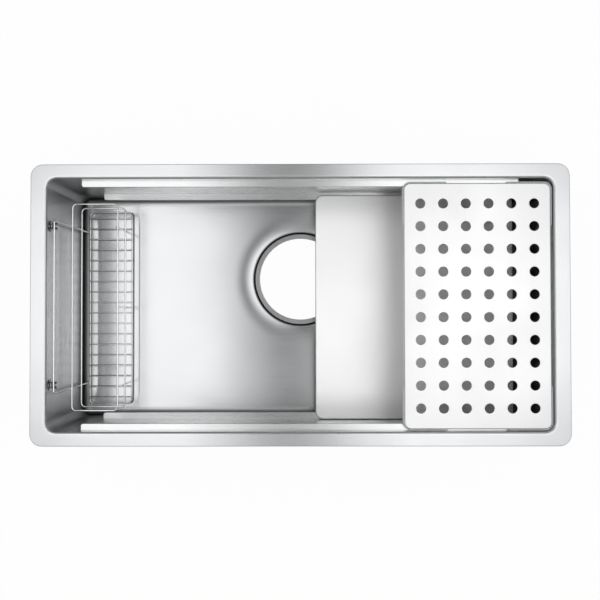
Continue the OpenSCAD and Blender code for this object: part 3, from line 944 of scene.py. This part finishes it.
# %% [markdown]
# ## The tray
# The tray is a shallow lid pressed from one sheet. The press leaves a tight radius where the
# top turns down, and the skirt's lower edge is only deburred.

# %% Tray
TRAY_R = 13.5
TRAY_FOLD = 2.2
half_tray = (tray_high - tray_low)[:2] / 2
tray_mid = (tray_low + tray_high) / 2
tray_h = tray_high[2] - tray_low[2]
tray_places = even_sides(6)


def tray_line(inward, drop):
    """The tray's outline moved inwards, at a drop below its top."""
    flat = round_rect(half_tray[0] - inward, half_tray[1] - inward, TRAY_R - inward, tray_places, 10)
    return lift(flat + tray_mid[:2], tray_high[2] - drop)


outer_fold = arc((TRAY_FOLD, TRAY_FOLD), TRAY_FOLD, 270, 180, 8)
inner_fold = arc((TRAY_FOLD, TRAY_FOLD), TRAY_FOLD - SHEET, 180, 270, 4)
profile = [(TRAY_FOLD + HOLD, 0), *outer_fold, (0, tray_h - DEBURRED), (DEBURRED, tray_h)]
profile += [(SHEET - DEBURRED, tray_h), (SHEET, tray_h - DEBURRED), *inner_fold]
profile.append((TRAY_FOLD + HOLD, SHEET))
tray_loops = [tray_line(x, drop) for x, drop in profile]
make_piece(
    "lower_tray_sheet", [skin(np.array(tray_loops), caps=True, grain=ALONG_Y, flat_uv=True)],
    "tray", tray_steel, ["lower_tray"]
)

# %% [markdown]
# ## The basket
# The basket is straight and bent wire, resistance-welded where the wires cross, with a small
# bead of metal swelling out at each spot. A wire is a circle carried along a line; the
# circle's plane turns with the line.

# %% Wires


def bent_path(corners, radius, closed=False, steps=8):
    """A path through corner points with every inner corner rounded to a quarter circle."""
    corners = np.array(corners, float)
    count = len(corners)
    out = []
    for k in range(count):
        here = corners[k]
        if not closed and k in (0, count - 1):
            out.append(here[None])
            continue
        back = normalised(corners[k - 1] - here)
        ahead = normalised(corners[(k + 1) % count] - here)
        centre = here + radius * (back + ahead)
        a = np.linspace(0, np.pi / 2, steps + 1)[:, None]
        out.append(centre - radius * (np.cos(a) * ahead + np.sin(a) * back))
    return np.concatenate(out)


def wire(path, radius, across, closed=False, sides=16):
    """A round wire: path + radius * (cos a * n + sin a * across), where `across` stands square
    to the plane of the path and n is square to both. Open ends are domed."""
    ahead = np.roll(path, -1, axis=0) - path
    behind = path - np.roll(path, 1, axis=0)
    if not closed:
        ahead[-1] = behind[-1]
        behind[0] = ahead[0]
    tangent = normalised(normalised(ahead) + normalised(behind))
    across = np.array(across, float)
    n = np.cross(across, tangent)
    a = full_turn(sides)
    spin = np.cos(a)[None, :, None] * n[:, None] + np.sin(a)[None, :, None] * across
    rows = np.arange(len(path))
    size = np.full(len(path), radius)
    inset = np.zeros(len(path))
    if not closed:
        dome = np.radians([80, 60, 40, 20, 0])
        step = radius * (1 - np.sin(dome))
        rows = np.concatenate(([0] * len(dome), rows[1:-1], [rows[-1]] * len(dome)))
        size = np.concatenate((radius * np.cos(dome), size[1:-1], radius * np.cos(dome[::-1])))
        inset = np.concatenate((step, inset[1:-1], -step[::-1]))
    centre = path[rows] + inset[:, None] * tangent[rows]
    grid = centre[:, None] + size[:, None, None] * spin[rows]
    grain = np.broadcast_to(tangent[rows][:, None], grid.shape)
    return skin(grid, tube=closed, caps=not closed, grain=grain)


def bead(centre, sizes, rings=5, sides=10):
    """A weld bead: a ball with half-sizes along X, Y and Z, from pole to pole."""
    a = full_turn(sides)
    b = np.radians(np.linspace(-80, 80, rings))
    ball = np.stack((
        np.cos(b)[:, None] * np.cos(a), np.cos(b)[:, None] * np.sin(a),
        np.sin(b)[:, None] * np.ones(sides),
    ), -1)
    return skin(np.array(centre) + ball * np.array(sizes), caps=True, grain=ALONG_X)


def basket_piece(node, made, ending="_wire"):
    """A piece of bright wire that stands for one node of the basket."""
    make_piece(node + ending, made, "basket", wire_steel, [node])


# %% Rings
WIRE_R = 1.5
RING_BEND = 7.0
levels = []
for level in ("top", "middle", "bottom"):
    node = f"basket_{level}_ring"
    low, high = box_mm(node)
    x0, y0 = low[:2] + WIRE_R
    x1, y1 = high[:2] - WIRE_R
    z = (low[2] + high[2]) / 2
    levels.append(z)
    path = bent_path([(x1, y0, z), (x1, y1, z), (x0, y1, z), (x0, y0, z)], RING_BEND, closed=True)
    basket_piece(node, [wire(path, WIRE_R, (0, 0, 1), closed=True)])

# %% Floor wires, uprights and hanger
FLOOR_WIRES = 18
FLOOR_WIRE_R = 1.0
HANGER_BEND = 4.5
BEAD_IN = 1.0
BEAD_DOWN = 0.9
FLOOR_BEAD = (1.5, 1.5, 1.1)
UPRIGHT_BEAD = (1.5, 1.8, 1.8)
low, high = box_mm("basket_floor_wires")
z = (low[2] + high[2]) / 2
made = []
for y in np.linspace(low[1] + FLOOR_WIRE_R, high[1] - FLOOR_WIRE_R, FLOOR_WIRES):
    made.append(wire(np.array([(low[0], y, z), (high[0], y, z)]), FLOOR_WIRE_R, (0, 0, 1)))
    ends = (low[0] + BEAD_IN, high[0] - BEAD_IN)
    made += [bead((x, y, z - BEAD_DOWN), FLOOR_BEAD) for x in ends]
basket_piece("basket_floor_wires", made, "_set")
for place in ("rear", "centre", "front"):
    node = f"basket_upright_{place}"
    low, high = box_mm(node)
    x, y = ((low + high) / 2)[:2]
    made = [wire(np.array([(x, y, low[2]), (x, y, high[2])]), WIRE_R, (1, 0, 0))]
    made += [bead((x + WIRE_R, y, z), UPRIGHT_BEAD) for z in levels]
    basket_piece(node, made)
low, high = box_mm("basket_hanger")
x = (low[0] + high[0]) / 2
legs = (low[1] + WIRE_R, high[1] - WIRE_R)
bar_z = high[2] - WIRE_R
path = bent_path(
    [(x, legs[0], low[2]), (x, legs[0], bar_z), (x, legs[1], bar_z), (x, legs[1], low[2])], HANGER_BEND
)
made = [wire(path, WIRE_R, (1, 0, 0))]
made += [bead((x + WIRE_R, y, z), UPRIGHT_BEAD) for z in levels for y in legs]
basket_piece("basket_hanger", made)

# %% [markdown]
# ## Suction cups, clips and nuts
# A suction cup is moulded from clear vinyl, turned about its stud. A clip is a flat plate
# with two hooks under the bar, and a small plated cap nut holds it on the stud.

# %% Cups


def turned_about_x(profile, centre, sides=40):
    """A profile of (x, radius) points turned about a line along X through the centre."""
    a = full_turn(sides)
    profile = np.array(profile, float)
    grid = np.stack((
        profile[:, :1] * np.ones(sides), profile[:, 1:] * np.cos(a), profile[:, 1:] * np.sin(a)
    ), -1)
    return skin(grid + np.array(centre), caps=True)


CUP_T = 2.2
NECK_R = 4.0
STUD_R = 2.0
cup_centres = {}
for place in ("rear", "front"):
    node = f"suction_cup_{place}"
    low, high = box_mm(node)
    centre = (low[0], (low[1] + high[1]) / 2, (low[2] + high[2]) / 2)
    cup_centres[place] = centre
    cup_r = (high[1] - low[1]) / 2
    neck = box_mm(f"cup_clip_{place}")[0][0] - low[0]
    end = high[0] - low[0]
    profile = [(0.9, 0.3), (0.75, 3.0), (0.35, cup_r - 2.5), (0, cup_r - 0.7), (0.1, cup_r - 0.15)]
    profile += [(0.35, cup_r), (0.75, cup_r - 0.3), (1.3, cup_r - 2.4), (1.9, NECK_R + 0.9)]
    profile += [(CUP_T + 0.2, NECK_R), (neck - 0.25, NECK_R), (neck, NECK_R - 0.25)]
    profile += [(neck, STUD_R + 0.05), (neck + 0.1, STUD_R), (end - 0.5, STUD_R)]
    profile += [(end - 0.15, STUD_R - 0.3), (end, STUD_R - 0.9)]
    cup = turned_about_x(profile, centre)
    make_piece(node + "_vinyl", [cup], "basket", cup_vinyl, [node])

# %% Clips
HOOK_W = 3.0
HOOK_T = 2.0
HOOK_NOSE = 2.9
HOOK_OUT = 4.1
HOOK_GAP = 0.1
hook_top = bar_z - WIRE_R - HOOK_GAP
for place, centre in cup_centres.items():
    node = f"cup_clip_{place}"
    low, high = box_mm(node)
    half = ((high[1] - low[1]) / 2, centre[2] - low[2])
    outline = round_rect(half[0], half[1], 1.5, even_sides(1), 5) + centre[1:]
    made = [turned(slab(outline, -low[0] - HOOK_T, -low[0], 0.4), 0, -1)]
    root = low[0] + 0.2
    nose = high[0]
    hook = rounded_polygon(
        [(root, hook_top - HOOK_T), (nose, hook_top - HOOK_T), (nose, bar_z),
         (nose - HOOK_NOSE, bar_z), (nose - HOOK_NOSE, hook_top), (root, hook_top)],
        [0.3, 0.9, 0.8, 0.6, 0.3, 0.3], 4
    )
    for y in (centre[1] - HOOK_OUT, centre[1] + HOOK_OUT):
        made.append(turned(slab(hook, y - HOOK_W / 2, y + HOOK_W / 2, 0.3), 1, 1))
    make_piece(node + "_hooks", made, "basket", clip_plastic, [node])

# %% Nuts
NUT_POINTS = 48
NUT_CAP_T = 1.2
BORE_R = 2.1
DOME_H = 1.7
# The nut's corners are worn to this share of their reach, and its chamfers start at that one.
WORN = 0.985
CHAMFER = 0.9
a = full_turn(NUT_POINTS)
sector = (a + np.pi / 6) % (np.pi / 3) - np.pi / 6
for place, centre in cup_centres.items():
    node = f"cup_nut_{place}"
    low, high = box_mm(node)
    corner_r = (high - low)[1:].max() / 2
    hexagon = np.minimum(corner_r * np.cos(np.pi / 6) / np.cos(sector), corner_r * WORN)
    chamfered = np.minimum(hexagon, corner_r * CHAMFER)
    rings = [(high[0] - NUT_CAP_T, BORE_R), (low[0], BORE_R), (low[0], chamfered)]
    rings += [(low[0] + 0.35, hexagon), (high[0] - DOME_H - 0.3, hexagon), (high[0] - DOME_H, chamfered)]
    dome = np.radians([15, 35, 55, 75])
    rings += [(high[0] + DOME_H * (np.sin(t) - 1), chamfered * np.cos(t)) for t in dome]
    grid = np.array([
        np.column_stack((np.full(NUT_POINTS, x), centre[1] + d * np.cos(a), centre[2] + d * np.sin(a)))
        for x, d in rings
    ])
    make_piece(node + "_plated", [skin(grid, caps=True)], "basket", nut_metal, [node])

# %% [markdown]
# ## Floor, light and camera
# The sink stands on plain white paper. Light comes from a wide oval lamp in a ceiling of cloth,
# and grey cards stand round it, which only show as reflections. A camera looks straight down
# from a little over a metre, and its stand shades the middle of the ceiling: that soft grey
# band is what draws the dark band across the brushed steel.

# %% Floor
PAPER_GLOW = 0.96
PAPER_HALF = 4.0


def stage_quad(name, material, corners, in_picture=False):
    """A flat four-cornered thing of the studio, which lights or shades the object."""
    mesh = bpy.data.meshes.new(name)
    mesh.from_pydata(corners, [], [(0, 1, 2, 3)])
    mesh.materials.append(material)
    prop = place_object(name, mesh)
    prop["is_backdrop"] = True
    prop.visible_camera = in_picture
    return prop


def two_faced(tree, output, lit, shown, share=1.0):
    """One shader lights the object, and the other is what the camera sees to this share,
    straight or by way of metal or glass."""
    rays = add(tree, "LightPath").outputs
    seen = rays["Is Camera Ray"]
    for kind in ("Is Glossy Ray", "Is Transmission Ray"):
        seen = add(tree, "Math", [(0, seen), (1, rays[kind])], operation="MAXIMUM")
    part = add(tree, "Math", [(0, seen), (1, share)], operation="MULTIPLY")
    add(tree, output, [("Surface", add(tree, "MixShader", [("Fac", part), (1, lit), (2, shown)]))])


paper, tree = new_material("matt_white_paper")
matt = add(tree, "BsdfDiffuse", Color=colour("#f4f4f4"))
glow = add(tree, "Emission", Strength=1.0)
two_faced(tree, "OutputMaterial", matt, glow, PAPER_GLOW)
under = cad_low[2] - 0.5 * MM
h = PAPER_HALF
floor_corners = [(-h, -h, under), (h, -h, under), (h, h, under), (-h, h, under)]
stage_quad("studio_floor", paper, floor_corners, in_picture=True)
print("floor at mm:", round(under / MM, 1))

# %% World
PLAIN_LIGHT = 0.9
world = bpy.data.worlds.new("white_studio")
bpy.context.scene.world = world
tree = empty_tree(world)
lit = add(tree, "Background", Color=(1, 1, 1, 1), Strength=PLAIN_LIGHT)
shown = add(tree, "Background", Color=(1, 1, 1, 1), Strength=1.0)
two_faced(tree, "OutputWorld", lit, shown)
print("world made")

# %% Ceiling
# Places and sizes are in metres, and a light level of 1 looks white. The gap is the shade of
# the camera's stand, a band across the lamp that keeps a little light at the front.
CEILING_Z = 1.5
CEILING_HALF = 2.5
LAMP_LIGHT = 2.1
LAMP_REAR = 0.03
LAMP_HALF = (1.3, 0.88)
LAMP_EDGE = (0.8, 1.1)
CLOTH_LIGHT = 0.5
GAP_PLACE = -0.05
GAP_HALF = 0.38
GAP_REACH = 0.6
GAP_LEFT_FRONT = 0.25
GAP_LEFT_REAR = 0.0

cloth, tree = new_material("lit_cloth_ceiling")
place = add(tree, "TexCoord").outputs["Object"]
oval = add(
    tree, "Mapping", [("Vector", place)],
    Scale=(1 / LAMP_HALF[0], 1 / LAMP_HALF[1], 0.0), Location=(0.0, -LAMP_REAR / LAMP_HALF[1], 0.0)
)
reach = add(tree, "VectorMath", [(0, oval)], operation="LENGTH").outputs["Value"]
lamp_level = add(
    tree, "MapRange", [("Value", reach)], interpolation_type="SMOOTHSTEP",
    From_Min=LAMP_EDGE[0], From_Max=LAMP_EDGE[1], To_Min=LAMP_LIGHT, To_Max=CLOTH_LIGHT
)
axes = add(tree, "SeparateXYZ", [("Vector", place)]).outputs
off_gap = add(tree, "Math", [(0, axes["X"]), (1, GAP_PLACE)], operation="SUBTRACT")
off_gap_size = add(tree, "Math", [(0, off_gap)], operation="ABSOLUTE")
left_over = add(
    tree, "MapRange", [("Value", axes["Y"])],
    From_Min=-GAP_REACH, From_Max=GAP_REACH, To_Min=GAP_LEFT_FRONT, To_Max=GAP_LEFT_REAR
)
gap_level = add(
    tree, "MapRange", [("Value", off_gap_size), ("To Min", left_over)],
    interpolation_type="SMOOTHSTEP", From_Max=GAP_HALF
)
total = add(tree, "Math", [(0, lamp_level), (1, gap_level)], operation="MULTIPLY")
lamp = add(tree, "Emission", [("Strength", total)])
add(tree, "OutputMaterial", [("Surface", lamp)])
h = CEILING_HALF
z = CEILING_Z
stage_quad("studio_ceiling", cloth, [(-h, -h, z), (-h, h, z), (h, h, z), (h, -h, z)])
print("ceiling made")

# %% Grey cards
CARD_GREY = "#c4c4c4"
CARD_LOW = -0.2
grey_card, tree = new_material("grey_card")
card_glow = add(tree, "Emission", Color=colour(CARD_GREY))
add(tree, "OutputMaterial", [("Surface", card_glow)])
for name, a, b in (
    ("card_rear", (-h, h), (h, h)), ("card_front", (h, -h), (-h, -h)),
    ("card_left", (-h, -h), (-h, h)), ("card_right", (h, h), (h, -h)),
):
    card_corners = [(*a, CARD_LOW), (*b, CARD_LOW), (*b, CEILING_Z), (*a, CEILING_Z)]
    card = stage_quad(name, grey_card, card_corners)
    card.visible_diffuse = False
print("cards made")

# %% Camera
CAMERA_PLACE = (5.55, -14.87, 1224.1)
CAMERA_TURN = (1.056, 0.257, -0.085)
LENS = 45.06
camera_data = bpy.data.cameras.new("camera")
camera = place_object("camera", camera_data)
camera_data.sensor_width = 36.0
camera_data.lens = LENS
camera_data.clip_start = 0.01
camera_data.clip_end = 50.0
turn = Matrix.Identity(4)
for angle, axis in zip(CAMERA_TURN, "XYZ"):
    turn = turn @ Matrix.Rotation(np.radians(angle), 4, axis)
camera.matrix_world = Matrix.Translation([c * MM for c in CAMERA_PLACE]) @ turn
bpy.context.scene.camera = camera
bpy.context.scene.view_settings.view_transform = "Standard"
print("camera height over the rim in mm:", round(CAMERA_PLACE[2] - rim_top, 1))

# %% Size and end
low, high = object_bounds()
print("visual box in mm:", [round((b - a) / MM, 1) for a, b in zip(low, high)])
